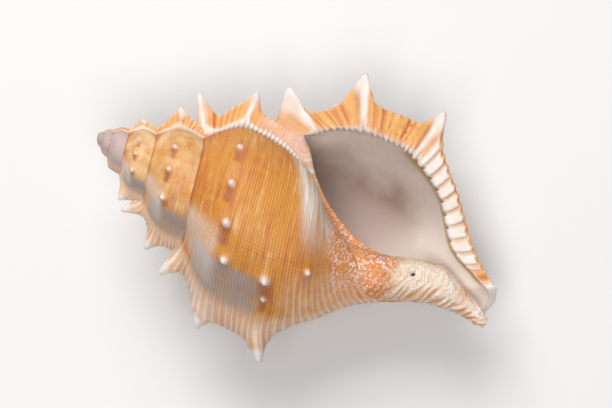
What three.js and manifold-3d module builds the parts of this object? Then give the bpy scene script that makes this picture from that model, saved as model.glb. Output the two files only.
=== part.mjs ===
// A dextral frog shell: the empty shell of a sea snail, lying on its back with the mouth up.
// Millimetres, +Z up, the origin on the resting plane under the middle of the shell.
//
// A snail shell grows by adding to its mouth while it turns about the axis of the spire, and the
// mouth gets larger by the same factor every turn. So the whole shell is one mouth outline, scaled
// and turned about the axis. This kind stops every half turn and builds a thick spiny lip, a varix.
// Each half turn is a closed solid here, from just inside the lip before it to its own lip, and the
// half turns are joined. The last one is hollow.
import * as THREE from "three";
import { ParametricGeometry } from "three/addons/geometries/ParametricGeometry.js";
import { mergeVertices } from "three/addons/utils/BufferGeometryUtils.js";
import Module from "manifold-3d";

// ---- driving dimensions -------------------------------------------------------------------------
const TURN_GROWTH = 1.66; // how many times larger the mouth gets in one full turn
const HALF_TURNS = 12; // growth spurts from the tip of the spire to the mouth
const TIP_SETBACK = 2.75; // how much the blunt first whorls shorten the ideal spire
const TIP_SIZE = 0.06; // mouth scale at which the spire turns blunt
const LIP_FLARE_START = -34; // degrees behind a lip where the wall starts to swell towards it
const START_OVERLAP = 10; // degrees that a half turn reaches back inside the lip before it

// The shell lies on its back, on two knobs and the side of the last whorl. This direction of its own
// frame, whose x is along the axis towards the canal, y to the outer lip and z out of the mouth, is up.
const REST_UP = new THREE.Vector3(-0.0523, 0.0437, 0.9977).normalize();

// The mouth outline at full size, as distance from the axis and distance along it, from the suture
// round the outer side to the tip of the canal and back along the pillar. Each landmark has four
// places: the wall between lips, the crest of a lip, the rim of the opening and the hollow behind.
const OUTLINE = [
  { at: "hidden start", wall: [6.2, 26.7], crest: [6.2, 26.7], rim: [14.6, 32.9], hollow: [12.6, 33.0] },
  { at: "suture", wall: [10.9, 29.5], crest: [13.5, 29.0], rim: [15.4, 33.9], hollow: [13.2, 33.4] },
  { at: "ramp", wall: [15.1, 33.5], crest: [18.6, 33.0], rim: [16.9, 35.5], hollow: [14.6, 35.0] },
  { at: "shoulder", wall: [18.6, 38.2], crest: [22.5, 38.2], rim: [18.6, 38.2], hollow: [17.3, 38.7] },
  { at: "upper side", wall: [19.3, 43.7], crest: [24.3, 45.0], rim: [19.9, 43.0], hollow: [18.0, 43.7] },
  { at: "lower side", wall: [18.5, 51.4], crest: [23.4, 51.4], rim: [19.3, 51.5], hollow: [17.2, 51.1] },
  { at: "base", wall: [16.0, 59.1], crest: [18.2, 58.0], rim: [15.7, 57.0], hollow: [14.8, 58.0] },
  { at: "neck", wall: [9.8, 65.0], crest: [10.5, 65.0], rim: [8.9, 62.6], hollow: [8.3, 63.0] },
  { at: "canal right", wall: [6.9, 69.2], crest: [7.4, 69.7], rim: [6.6, 68.0], hollow: [6.0, 68.0] },
  { at: "tip right", wall: [5.2, 71.7], crest: [5.6, 72.3], rim: [5.2, 71.6], hollow: [4.8, 71.3] },
  { at: "tip left", wall: [2.6, 70.9], crest: [2.6, 71.3], rim: [3.2, 71.0], hollow: [3.2, 70.8] },
  { at: "canal left", wall: [0.4, 68.9], crest: [0.4, 68.9], rim: [4.2, 67.2], hollow: [3.7, 67.4] },
  { at: "lower pillar", wall: [0.2, 59.9], crest: [0.2, 59.9], rim: [5.2, 60.8], hollow: [4.6, 61.0] },
  { at: "upper pillar", wall: [0.2, 50.2], crest: [0.2, 50.2], rim: [2.8, 51.0], hollow: [2.7, 51.0] },
  { at: "lower inner lip", wall: [1.3, 42.4], crest: [1.3, 42.4], rim: [5.5, 42.8], hollow: [5.2, 42.8] },
  { at: "inner lip", wall: [3.6, 35.6], crest: [3.6, 35.6], rim: [9.4, 37.6], hollow: [8.9, 38.2] },
  { at: "upper inner lip", wall: [4.5, 30.0], crest: [4.5, 30.0], rim: [12.6, 35.0], hollow: [11.3, 35.6] },
];
const LANDMARKS = OUTLINE.length;
const SPINE_AT = { throat: 1.25, shoulder: 3, side: 5 }; // places along the outline, in landmarks
const OUTER_END = 10; // the last landmark of the outer side
const TIP_TWIST = -75; // degrees that the lip stays back at the canal's tip, which leaves it open

// Spines of each lip, newest first, as how far each tip stands out beyond the crest, in distance from
// the axis and along it, at full size. Old spines that the next whorl covers are not there.
const SPINES = [
  { throat: [5.4, -2.2], shoulder: [5.7, -0.2], side: [4.6, -0.2] },
  { throat: [5.0, -1.5], shoulder: [4.1, 2.1], side: [4.2, 3.1] },
  { throat: [7.3, -4.9], shoulder: [6.3, 0.1] },
  { throat: [3.5, -5.0], shoulder: [5.2, -1.1] },
  { shoulder: [5.5, -2.7] },
];
const CANAL_LAG = 2.2; // how much shorter the canal starts in the last half turn
const SPINE_HALF_WIDTH = 1.5; // along the crest
const SPINE_THICKNESS = 6; // degrees along the whorl

// Knobs stand in rows round the whorl, each given as degrees before that half turn's own lip. The
// first two half turns have all three rows, and on older ones the newer whorls cover the lower rows.
const KNOB_ROWS = [
  { at: 3, degrees: [-133, -102, -73, -47], height: 1.8, radius: 1.3, oldest: 3 },
  { at: 5, degrees: [-43], height: 1.8, radius: 1.4, oldest: 1 },
  { at: 6, degrees: [-63], height: 1.1, radius: 1.0, oldest: 1 },
];
const KNOB_SIDES = 6;

// The front of a lip, as how far it has come from the crest towards the opening or the next wall, and
// the degrees in front of the lip's plane. Then the degrees of the rings inside the last half turn.
const MOUTH_FRONT = [[0.2, 0.9], [0.8, 0.8], [1, -0.4]];
const OLD_LIP_FRONT = [[0.3, 0.9], [1, -0.4]];
const HOLLOW_ANGLES = [-2.5, -6, -12, -20, -32, -46, -62, -80, -98, -116, -134, -152, -170, -186];

// The pillar that the whorls wind round and the left wall of the canal below it: distance along the
// axis, shift to the right of the axis and towards the mouth, and radius.
const PILLAR = [
  [30.0, 0.0, 0.0, 1.0],
  [48.0, -1.0, 0.0, 3.4],
  [51.0, -0.8, -0.3, 3.9],
  [55.4, 1.0, -0.8, 3.7],
  [60.4, 2.3, -1.0, 3.2],
  [65.3, 1.6, -0.8, 1.9],
  [68.4, 0.8, -0.4, 1.4],
  [70.0, 0.1, 0.0, 0.6],
];
const PILLAR_SIDES = 10;

const SMALLEST_FACE = 0.03; // slivers thinner than this, left by the joins, are closed up
const HOLLOW_END = -690; // degrees behind the mouth where the hollow ends
const HOLLOW_STEP = 26; // degrees between the hollow's rings
const WHORL_CENTRE = new THREE.Vector3(9, 45, 0); // middle of the wall's outline, at full size
const HOLLOW_CENTRE = new THREE.Vector3(11, 46, 0); // middle of the hollow's outline, at full size
const START_SUNK = 0.12; // how far a half turn's start shrinks towards its centre, inside the old lip
const FRONT_SUNK = 0.04; // the same for the foot of an old lip's front, inside the next wall
const KNOB_SUNK = 1; // how deep a knob's foot goes into the wall

const rad = THREE.MathUtils.degToRad;
const step = THREE.MathUtils.smoothstep;
const lerp = THREE.MathUtils.lerp;

// ---- the mouth outline ----------------------------------------------------------------------------
const curveOf = (place) =>
  new THREE.CatmullRomCurve3(OUTLINE.map((row) => new THREE.Vector3(...row[place], 0)), true, "catmullrom");
const CURVES = {
  wall: curveOf("wall"),
  crest: curveOf("crest"),
  rim: curveOf("rim"),
  hollow: curveOf("hollow"),
};
const outline = (place, at) => CURVES[place].getPoint((((at / LANDMARKS) % 1) + 1) % 1);

// Where the surface's columns run: evenly along the outer side with more at each spine, and sparsely
// along the hidden side.
function columnPlaces(outer, inner, spines) {
  const places = [];
  for (let i = 0; i < outer; i++) places.push((OUTER_END * i) / outer);
  for (let i = 0; i < inner; i++) places.push(OUTER_END + ((LANDMARKS - OUTER_END) * i) / inner);
  const crowd = [-0.5, -0.2, 0, 0.2, 0.5];
  for (const name of spines) {
    const centre = SPINE_AT[name];
    for (let i = places.length - 1; i >= 0; i--)
      if (Math.abs(places[i] - centre) < 0.62) places.splice(i, 1);
    for (const offset of crowd) places.push(centre + offset);
  }
  return places.sort((a, b) => a - b);
}

// A point of the mouth outline, grown to its size and turned to its place about the axis.
function grown(point, degrees, twist = 0) {
  const size = TURN_GROWTH ** (degrees / 360);
  const angle = rad(degrees + twist);
  const along = size * point.y - (TIP_SETBACK * size) / (size + TIP_SIZE);
  const out = size * point.x;
  return new THREE.Vector3(along, out * Math.cos(angle), out * Math.sin(angle));
}

// How far the lip stays back at the canal's tip, over the last part of the last half turn.
function tipTwist(at, degrees) {
  const tip = step(at, 8.5, 9.8) * (1 - step(at, 10.5, 12));
  return TIP_TWIST * tip * step(degrees, -90, 0);
}

// The wall's outline, this many degrees before its own lip.
function wallOutline(at, degrees, spines, isLast) {
  const lowerFlare = isLast ? 1 : 1 - step(at, 5.3, 6.2) * (1 - step(at, 9, 10));
  const flare = lowerFlare * step(degrees, LIP_FLARE_START, -1) ** 1.3;
  const point = outline("wall", at).lerp(outline("crest", at), flare);
  if (isLast) {
    const canal = step(at, 5.5, 7) * (1 - step(at, 12, 13.5));
    point.y -= canal * CANAL_LAG * (1 - step(degrees, -180, -80));
  }
  for (const [name, [out, along]] of Object.entries(spines)) {
    const across = outline("wall", at).distanceTo(outline("wall", SPINE_AT[name]));
    const width = Math.cosh(across / SPINE_HALF_WIDTH) ** -1.5;
    const height = width * Math.exp(-((degrees / SPINE_THICKNESS) ** 2));
    if (at < OUTER_END) point.add(new THREE.Vector3(out, along, 0).multiplyScalar(height));
  }
  return point;
}

// ---- closed solids --------------------------------------------------------------------------------
const wasm = await Module();
wasm.setup();

// A closed solid from a row of rings with equally many points. Its two ends close to a point.
function solidFromRings(rings) {
  const total = (ring) => ring.reduce((sum, point) => sum.add(point), new THREE.Vector3());
  const middle = (ring) => total(ring).divideScalar(ring.length);
  const first = rings[0].map(() => middle(rings[0]));
  const last = rings.at(-1).map(() => middle(rings.at(-1)));
  const all = [first, ...rings, last];
  const columns = rings[0].length;
  const surface = (along, around, target) => {
    const ring = all[Math.round(THREE.MathUtils.clamp(along, 0, 1) * (all.length - 1))];
    target.copy(ring[Math.round(THREE.MathUtils.clamp(around, 0, 1) * columns) % columns]);
  };
  const skin = new ParametricGeometry(surface, all.length - 1, columns);
  return solidFromGeometry(skin);
}

// A closed solid from a skin whose corners are not joined yet.
function solidFromGeometry(geometry) {
  geometry.deleteAttribute("normal");
  geometry.deleteAttribute("uv");
  const merged = mergeVertices(geometry, 1e-6);
  const corners = Array.from(merged.index.array);
  const triVerts = [];
  for (let i = 0; i < corners.length; i += 3) {
    const [a, b, c] = corners.slice(i, i + 3);
    if (a !== b && b !== c && c !== a) triVerts.push(a, b, c);
  }
  return new wasm.Manifold(
    new wasm.Mesh({
      numProp: 3,
      vertProperties: merged.attributes.position.array,
      triVerts: new Uint32Array(triVerts),
    }),
  );
}

// ---- half turns -----------------------------------------------------------------------------------
// Each half turn has its rings closer together near its lip.
function wallAngles(count) {
  const angles = [];
  for (let i = 0; i <= count; i++) {
    const t = i / count;
    angles.push(lerp(-180 - START_OVERLAP, 0, 1 - (1 - t) ** 1.35));
  }
  return angles;
}

function halfTurn(index, rings, outer, inner, isLast) {
  const spines = SPINES[index] ?? {};
  const places = columnPlaces(outer, inner, Object.keys(spines));
  const ownTurn = -180 * index;
  const twistOf = (at, degrees) => (isLast ? tipTwist(at, degrees) : 0);
  const all = [];
  for (const degrees of wallAngles(rings)) {
    const sunk = START_SUNK * (1 - step(degrees, -180 - START_OVERLAP, -177));
    all.push(
      places.map((at) => {
        const wall = wallOutline(at, degrees, spines, isLast).lerp(WHORL_CENTRE, sunk);
        return grown(wall, ownTurn + degrees, twistOf(at, degrees));
      }),
    );
  }
  // The front of the lip falls from its crest to the rim of the opening, or to the next whorl's wall.
  for (const [part, degrees] of isLast ? MOUTH_FRONT : OLD_LIP_FRONT)
    all.push(
      places.map((at) => {
        const front = wallOutline(at, 0, spines, isLast).lerp(outline(isLast ? "rim" : "wall", at), part);
        if (!isLast && part === 1) front.lerp(WHORL_CENTRE, FRONT_SUNK);
        return grown(front, ownTurn + degrees, twistOf(at, 0));
      }),
    );
  if (isLast)
    for (const degrees of HOLLOW_ANGLES)
      all.push(
        places.map((at) => {
          const inside = outline("rim", at).lerp(outline("hollow", at), 1 - step(degrees, -30, 0));
          return grown(inside, ownTurn + degrees, twistOf(at, degrees));
        }),
      );
  return solidFromRings(all);
}

// Knobs are low cones that stand square to the wall.
function knob(index, at, degrees, radius, height) {
  const turn = -180 * index + degrees;
  const size = TURN_GROWTH ** (turn / 360);
  const point = (a, d) => grown(wallOutline(a, degrees + d, {}, index === 0), turn + d);
  const foot = point(at, 0);
  const around = point(at + 0.02, 0).sub(foot);
  const onward = point(at, 0.5).sub(foot);
  const outward = around.cross(onward).normalize();
  if (outward.dot(new THREE.Vector3(0, foot.y, foot.z)) < 0) outward.negate();
  const cone = new THREE.ConeGeometry(radius * size, (height + KNOB_SUNK) * size, KNOB_SIDES);
  cone.applyQuaternion(new THREE.Quaternion().setFromUnitVectors(new THREE.Vector3(0, 1, 0), outward));
  const middle = foot.clone().addScaledVector(outward, ((height - KNOB_SUNK) / 2) * size);
  cone.translate(middle.x, middle.y, middle.z);
  return solidFromGeometry(cone);
}

function pillar() {
  const rings = PILLAR.map(([along, right, front, radius]) =>
    Array.from({ length: PILLAR_SIDES }, (_, i) => {
      const angle = (-2 * Math.PI * i) / PILLAR_SIDES;
      return new THREE.Vector3(along, right + radius * Math.cos(angle), front + radius * Math.sin(angle));
    }),
  );
  return solidFromRings(rings);
}

// The hollow goes on round the whorl before last, where it narrows to an end.
function innerHollow() {
  const places = columnPlaces(10, 5, []);
  const rings = [];
  for (let degrees = HOLLOW_END; degrees < -160; degrees += HOLLOW_STEP) {
    const narrowing = 0.05 + 0.5 * step(-degrees, -HOLLOW_END - 80, -HOLLOW_END);
    rings.push(places.map((at) => grown(outline("hollow", at).lerp(HOLLOW_CENTRE, narrowing), degrees)));
  }
  return solidFromRings(rings);
}

// ---- the whole shell ------------------------------------------------------------------------------
// Rings, outer columns and inner columns of each half turn, newest first. Older ones are like the last.
const RESOLUTION = [
  [16, 18, 6],
  [13, 15, 5],
  [10, 12, 4],
  [8, 11, 4],
  [7, 9, 3],
  [6, 8, 3],
  [5, 7, 3],
];
let shell = pillar();
for (let index = 0; index < HALF_TURNS; index++) {
  const [rings, outer, inner] = RESOLUTION[Math.min(index, RESOLUTION.length - 1)];
  shell = shell.add(halfTurn(index, rings, outer, inner, index === 0));
}
shell = shell.subtract(innerHollow());
for (const { at, degrees, height, radius, oldest } of KNOB_ROWS)
  for (let index = 0; index <= oldest; index++)
    for (const place of degrees) shell = shell.add(knob(index, at, place, radius, height));
shell = shell.decompose().sort((a, b) => b.volume() - a.volume())[0];
shell = shell.simplify(SMALLEST_FACE);

const merged = shell.getMesh();
const geometry = new THREE.BufferGeometry();
geometry.setAttribute("position", new THREE.BufferAttribute(merged.vertProperties, 3));
geometry.setIndex(new THREE.BufferAttribute(merged.triVerts, 1));
geometry.computeVertexNormals();
const chalk = new THREE.MeshStandardMaterial({ color: 0xd9a066, roughness: 0.5, metalness: 0 });
const frogShell = new THREE.Mesh(geometry, chalk);
frogShell.name = "frog_shell";

// ---- the rest pose --------------------------------------------------------------------------------
const part = new THREE.Group();
part.add(frogShell);
const along = new THREE.Vector3(1, 0, 0).projectOnPlane(REST_UP).normalize();
const across = REST_UP.clone().cross(along);
part.quaternion.setFromRotationMatrix(new THREE.Matrix4().makeBasis(along, across, REST_UP).transpose());
part.updateMatrixWorld(true);
const box = new THREE.Box3().setFromObject(frogShell, true);
const middle = box.getCenter(new THREE.Vector3());
part.position.set(-middle.x, -middle.y, -box.min.z);

export default part;
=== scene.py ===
# %% [markdown]
# # The empty shell of a frog shell, a sea snail
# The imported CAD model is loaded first, as the frame that gives size and place. Its one solid has the
# right form but is coarse. The pieces below stand for it: the same form with its cords, knobs, teeth
# and colours.

# %% Load the frame
import math

import bmesh
import bpy
import numpy as np
from mathutils import Matrix, Vector


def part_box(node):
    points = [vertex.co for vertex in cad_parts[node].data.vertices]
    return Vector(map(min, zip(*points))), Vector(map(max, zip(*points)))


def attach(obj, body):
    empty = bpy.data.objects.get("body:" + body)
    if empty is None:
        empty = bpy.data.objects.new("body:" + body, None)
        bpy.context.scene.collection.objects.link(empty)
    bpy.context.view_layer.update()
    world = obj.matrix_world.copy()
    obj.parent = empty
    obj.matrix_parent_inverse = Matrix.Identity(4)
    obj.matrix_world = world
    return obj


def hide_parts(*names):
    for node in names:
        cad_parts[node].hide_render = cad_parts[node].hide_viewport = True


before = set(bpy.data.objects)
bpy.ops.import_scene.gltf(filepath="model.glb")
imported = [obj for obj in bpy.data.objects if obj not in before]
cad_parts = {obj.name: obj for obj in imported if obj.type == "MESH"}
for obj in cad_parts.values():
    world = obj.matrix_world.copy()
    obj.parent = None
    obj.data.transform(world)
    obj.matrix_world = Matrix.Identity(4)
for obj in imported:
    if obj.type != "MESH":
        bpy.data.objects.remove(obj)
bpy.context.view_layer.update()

# %% [markdown]
# ## The law of growth
# A snail adds to the edge of its mouth while it turns about the axis of the spire, and the mouth gets
# larger by one factor each turn. So the wall of the shell is one outline, scaled and turned. It could
# be made with a Screw modifier, but that can't scale the outline as it turns, so the law is written as
# a function, and flat sheets are wound with it.

# %% The law of growth
MM = 0.001
TURN_GROWTH = 1.66  # how many times larger the mouth gets in one full turn
HALF_TURNS = 12  # growth spurts from the tip of the spire to the mouth
TIP_SETBACK = 2.75  # mm that the blunt first whorls shorten the ideal spire
TIP_SIZE = 0.06  # mouth scale at which the spire turns blunt


def smooth(value, low, high):
    """0 below low, 1 above high, and an even slope between."""
    part = np.clip((value - low) / (high - low), 0.0, 1.0)
    return part * part * (3.0 - 2.0 * part)


def window(value, low, high, soft):
    """1 between low and high, fading to 0 over soft on both sides."""
    return smooth(value, low - soft, low) * (1.0 - smooth(value, high, high + soft))


def mix(low, high, part):
    """The value that is this part of the way from low to high."""
    return low + (high - low) * part


def wave(turns):
    """A smooth wave between 0 and 1, with its tops at whole numbers."""
    return 0.5 + 0.5 * np.cos(2.0 * np.pi * turns)


def grown(point, degrees, twist=0.0):
    """A point (distance from the axis, distance along it) at full size, grown and turned, in mm."""
    size = TURN_GROWTH ** (degrees / 360.0)
    angle = np.radians(degrees + twist)
    along = size * point[..., 1] - TIP_SETBACK * size / (size + TIP_SIZE)
    out = size * point[..., 0]
    return np.stack([along, out * np.cos(angle), out * np.sin(angle)], axis=-1)


print("one half turn grows the mouth by", round(TURN_GROWTH**0.5, 3))

# %% [markdown]
# ## The outline of the mouth
# Seventeen landmarks run from the suture round the outer side to the tip of the canal and back along
# the pillar. Each has four places: the wall between lips, the crest of a lip, the rim of the opening
# and the hollow behind it. A circle scaled in two directions couldn't have the canal, so a closed
# smooth curve runs through the landmarks.

# %% The outline of the mouth
LANDMARKS = [  # wall, crest, rim, hollow: each (distance from the axis, distance along it) in mm
    ("hidden start", (6.2, 26.7), (6.2, 26.7), (14.6, 32.9), (12.6, 33.0)),
    ("suture", (10.9, 29.5), (13.5, 29.0), (15.4, 33.9), (13.2, 33.4)),
    ("ramp", (15.1, 33.5), (18.6, 33.0), (17.8, 36.6), (15.5, 36.2)),
    ("shoulder", (18.6, 38.2), (22.5, 38.2), (19.5, 41.0), (17.8, 41.2)),
    ("upper side", (19.3, 43.7), (24.3, 45.0), (20.0, 45.4), (18.1, 45.8)),
    ("lower side", (18.5, 51.4), (23.4, 51.4), (19.5, 50.4), (17.4, 50.3)),
    ("base", (16.0, 59.1), (18.2, 58.0), (15.7, 57.0), (14.8, 58.0)),
    ("neck", (9.8, 65.0), (10.5, 65.0), (8.9, 62.6), (8.3, 63.0)),
    ("canal right", (6.9, 68.9), (7.3, 69.0), (6.4, 67.6), (5.9, 67.7)),
    ("tip right", (4.9, 71.8), (5.1, 72.3), (4.5, 71.5), (4.2, 71.2)),
    ("tip left", (2.6, 70.7), (2.6, 70.9), (3.0, 70.4), (3.0, 70.3)),
    ("canal left", (0.4, 68.9), (0.4, 68.9), (4.2, 67.2), (3.7, 67.4)),
    ("lower pillar", (0.2, 59.9), (0.2, 59.9), (5.2, 60.8), (4.6, 61.0)),
    ("upper pillar", (0.2, 50.2), (0.2, 50.2), (2.8, 51.0), (2.7, 51.0)),
    ("lower inner lip", (1.3, 42.4), (1.3, 42.4), (5.5, 42.8), (5.2, 42.8)),
    ("inner lip", (3.6, 35.6), (3.6, 35.6), (9.4, 37.6), (8.9, 38.2)),
    ("upper inner lip", (4.5, 30.0), (4.5, 30.0), (12.6, 35.0), (11.3, 35.6)),
]
OUTER_END = 10.0  # the last landmark of the outer side
PLACES = {
    name: np.array([row[i + 1] for row in LANDMARKS])
    for i, name in enumerate(("wall", "crest", "rim", "hollow"))
}


def outline(place, at):
    """The outline at a place along it, counted in landmarks: a closed curve through all of them."""
    points = PLACES[place]
    whole = np.floor(at).astype(int)
    part = (at - whole)[..., None]
    before, here, after, beyond = (points[(whole + k) % len(points)] for k in (-1, 0, 1, 2))
    leaving = (after - before) / 2.0
    arriving = (beyond - here) / 2.0
    square = 3.0 * (after - here) - 2.0 * leaving - arriving
    cube = 2.0 * (here - after) + leaving + arriving
    return here + part * (leaving + part * (square + part * cube))


print("landmarks", len(LANDMARKS))

# %% [markdown]
# ## Length along the outline and its zones
# Cords are counted by length along the wall, so that length is measured once. Features that sit in one
# part of the outline, such as the teeth, get a named zone there. The zones could be painted on by
# hand, but named ones keep form and colour in step.

# %% Length along the outline and its zones
fine_at = np.linspace(0.0, len(LANDMARKS), 3401)
steps = np.linalg.norm(np.diff(outline("wall", fine_at), axis=0), axis=1)
fine_length = np.concatenate([[0.0], np.cumsum(steps)])
print("length of the outline in mm", round(float(fine_length[-1]), 1))


def length_at(at):
    """Millimetres along the wall's outline, at full size."""
    return np.interp(at, fine_at, fine_length)


ZONES = {  # starts, full from, full to, ended, all counted in landmarks
    "cords": (0.1, 0.6, 9.5, 10.0),
    "lip ribs": (0.1, 0.6, 9.0, 9.5),
    "teeth": (5.1, 5.25, 7.7, 7.85),
    "between teeth": (5.15, 5.25, 7.7, 7.8),
    "denticles": (1.0, 1.3, 5.0, 5.3),
    "foot beads": (1.1, 1.6, 6.3, 6.8),
    "canal band": (5.2, 5.9, 9.0, 9.7),
    "canal side": (5.3, 6.2, 9.0, 10.0),
    "open canal": (5.5, 7.0, 12.0, 13.5),
    "canal tip": (8.5, 9.8, 10.5, 12.0),
    "grey": (1.7, 2.2, 4.6, 5.1),
    "pale ramp": (0.7, 1.3, 2.9, 3.5),
    "between spines": (1.8, 2.2, 3.4, 3.8),
    "white rim": (-0.5, 0.0, 8.5, 9.0),
    "behind the rim": (-0.5, 0.0, 11.5, 12.0),
    "canal end": (8.2, 8.6, 10.5, 10.9),
    "lower inner lip": (12.0, 12.4, 14.0, 14.4),
    "upper inner lip": (14.1, 15.0, 16.0, 16.6),
    "glazed old lip": (3.3, 4.2, 5.6, 6.4),
    "grainy base": (6.4, 7.3, 10.5, 11.4),
    # where the shadow behind the teeth is painted
    "groove_shade": (4.5, 5.0, 8.2, 8.7),
    "specks": (3.6, 3.9, 4.6, 4.9),
}


def zone(name, at):
    """1 inside a named zone of the outline and 0 outside."""
    starts, full_from, full_to, ended = ZONES[name]
    return smooth(at, starts, full_from) * (1.0 - smooth(at, full_to, ended))


print("named zones", len(ZONES))

# %% [markdown]
# ## Spines
# Every half turn the snail stops and builds a thick lip, with spines where the edge of its mantle had
# folds. Cones set on the lip would leave a crease at each foot that a shell doesn't have, so a spine is
# a swelling of the wall itself, largest at the lip.

# %% Spines
SPINE_AT = {"throat": 1.25, "crest": 2.5, "shoulder": 3.0, "side": 5.0}
SPINES = [  # place, reach beyond the crest (out, along) and half width, in mm, newest lip first
    [("throat", (5.5, -2.8), 1.4), ("shoulder", (5.6, -0.9), 1.1), ("side", (4.7, 0.3), 1.4)],
    [("throat", (5.3, -2.3), 1.4), ("shoulder", (4.6, 1.1), 1.5), ("side", (4.6, 3.2), 1.4)],
    [("throat", (7.3, -6.2), 1.4), ("crest", (3.0, -0.4), 2.6), ("shoulder", (5.4, 0.1), 1.3)],
    [("throat", (4.9, -5.9), 1.5), ("shoulder", (5.8, -0.9), 1.5)],
    [("crest", (2.8, -1.4), 2.8), ("shoulder", (4.0, -2.2), 1.6)],
    [("crest", (2.4, -0.8), 2.8), ("shoulder", (4.2, -2.2), 1.8)],
    [("crest", (2.2, -1.0), 3.0), ("shoulder", (2.4, -1.6), 2.0)],
    [("crest", (1.8, -0.6), 3.0)],
]
SPINE_THICKNESS = 6.0  # degrees along the whorl
SPINE_FALL = 1.5  # how steeply a spine falls away on both sides
TIP_CAP = 0.97  # share of the height above which the tip is rounded
TIP_HARD = 10  # how sudden that rounding is


def rounded(height):
    """Heights from 0 to 1 with a rounded top that still reaches 1."""
    full = (1.0 + TIP_CAP**-TIP_HARD) ** (1.0 / TIP_HARD)
    return full * height / (1.0 + (height / TIP_CAP) ** TIP_HARD) ** (1.0 / TIP_HARD)


def spines_of(half):
    """The spines on the lip of a half turn, none on the oldest."""
    return SPINES[half] if half < len(SPINES) else []


def spine_height(at, degrees, half):
    """The height of the nearest spine from 0 to 1, and how far it moves the wall, in mm."""
    move = np.zeros(at.shape + (2,))
    height = np.zeros(at.shape)
    for name, reach, half_width in spines_of(half):
        foot = outline("wall", np.array(SPINE_AT[name]))
        across = np.linalg.norm(outline("wall", at) - foot, axis=-1)
        shape = np.cosh(across / half_width) ** -SPINE_FALL * np.exp(-((degrees / SPINE_THICKNESS) ** 2))
        shape = rounded(np.where(at < OUTER_END, shape, 0.0))
        move += shape[..., None] * np.array(reach)
        if name != "crest":
            height = np.maximum(height, shape)
    return height, move


print("spines", sum(name != "crest" for spines in SPINES for name, reach, half_width in spines))

# %% [markdown]
# ## The wall from lip to lip
# Behind each lip the wall swells out to the crest. The last mouth ends in an open canal, whose tip is
# made by holding the lip back there. Where a half turn starts, and at the foot of an old lip, the wall
# is sunk a little into the shell, so that no gap opens between pieces. They could be joined with
# Boolean unions instead, but those lose the even grid and its marks.

# %% The wall from lip to lip
LIP_FLARE_START = -34.0  # degrees behind a lip where the wall starts to swell towards it
FLARE_BEND = 1.3  # above 1 the swelling comes late
CANAL_LAG = 2.2  # mm that the canal starts shorter in the last half turn
TIP_TWIST = -75.0  # degrees that the lip stays back at the canal's tip
START_OVERLAP = 10.0  # degrees that a half turn reaches back inside the lip before it
START_SUNK = 0.12  # how far it shrinks there towards its centre
FRONT_SUNK = 0.04  # the same for the foot of an old lip's front
HOLLOW_SUNK = 0.05  # and for the hollow behind it
WHORL_CENTRE = np.array([9.0, 45.0])
HOLLOW_CENTRE = np.array([11.0, 46.0])


def near_lip(degrees):
    """0 far behind a lip, 1 at it."""
    return smooth(degrees, LIP_FLARE_START, -1.0) ** FLARE_BEND


def flare(at, degrees, half):
    """How far the wall has swollen towards its lip, 0 to 1. On old lips the canal side doesn't."""
    lower = 1.0 if half == 0 else 1.0 - zone("canal side", at)
    return lower * near_lip(degrees)


def wall_point(at, degrees, half):
    """The wall's outline, this many degrees before its own lip, without its fine ribs."""
    point = mix(outline("wall", at), outline("crest", at), flare(at, degrees, half)[..., None])
    if half == 0:
        point[..., 1] -= zone("open canal", at) * CANAL_LAG * (1.0 - smooth(degrees, -180.0, -80.0))
    sunk = START_SUNK * (1.0 - smooth(degrees, -180.0 - START_OVERLAP, -177.0))
    return mix(point + spine_height(at, degrees, half)[1], WHORL_CENTRE, sunk[..., None])


def tip_twist(at, degrees, half):
    """Degrees that the lip stays back at the canal's tip. Old lips don't show theirs."""
    if half > 0:
        return np.zeros(at.shape)
    return TIP_TWIST * zone("canal tip", at) * smooth(degrees, -90.0, 0.0)


print("the canal's tip stays back by", -TIP_TWIST, "degrees")

# %% [markdown]
# ## Knobs
# Between lips, small white knobs stand in rows, larger towards the next lip, and on the far side of
# each a shadow of deeper orange is painted. Small balls would look stuck on, so they too are heights
# of the wall.

# %% Knobs
KNOBS = [  # place, degrees before the lip, height and radius in mm, for these half turns
    (3.0, -133.0, 1.5, 1.4, (0, 1)),
    (3.1, -102.0, 1.5, 1.4, (0, 1)),
    (3.38, -76.0, 1.6, 1.6, (0, 1)),
    (3.68, -52.0, 1.7, 1.6, (0, 1)),
    (5.0, -50.0, 2.2, 2.0, (0, 1)),
    (5.03, -32.5, 1.2, 1.2, (0, 1)),
    (6.15, -64.0, 1.2, 1.3, (0, 1)),
    (3.0, -121.0, 1.9, 1.6, (2, 3, 4, 5)),
    (3.05, -92.0, 1.9, 1.6, (2, 3, 4, 5)),
    (3.2, -60.0, 2.2, 1.8, (2, 3, 4, 5)),
]
KNOB_STEEP = 1.9
KNOB_POINT = 1.15  # 2 would be a round hill, 1 a sharp point


def knob_height(at, degrees, half):
    """Height of the knobs in mm, how near the nearest one is, and the painted shadow beyond it, 0 to 1.
    """
    height, near, knob_shade = (np.zeros(at.shape) for _ in range(3))
    for place, knob_turn, tall, radius, halves in KNOBS:
        if half in halves:
            across = (length_at(at) - length_at(place)) / radius
            onward = np.radians(degrees - knob_turn) * outline("wall", np.array(place))[0] / radius
            shape = np.exp(-KNOB_STEEP * np.hypot(across, onward) ** KNOB_POINT)
            height = np.maximum(height, tall * shape)
            near = np.maximum(near, shape)
            # the painted shadow of deeper orange beyond each knob
            knob_shade = np.maximum(knob_shade, window(onward, 0.9, 2.6, 1.2) * np.exp(-(across**2) / 1.2))
    return height, near, knob_shade


print("knobs", sum(len(halves) for *rest, halves in KNOBS))

# %% [markdown]
# ## Fine sculpture
# Cords run along the whorls, 0.7 mm apart at the mouth, and fine growth lines cross them, which
# makes beads. Both grow with the shell, so they are counted in the outline's own length and in
# degrees. The cords are real ridges, with four columns of the mesh to a cord on the newest whorls, and
# the lines across them are left to the bump in the material. The rim of the mouth has square teeth on
# its outer side and small ones above.

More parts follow.
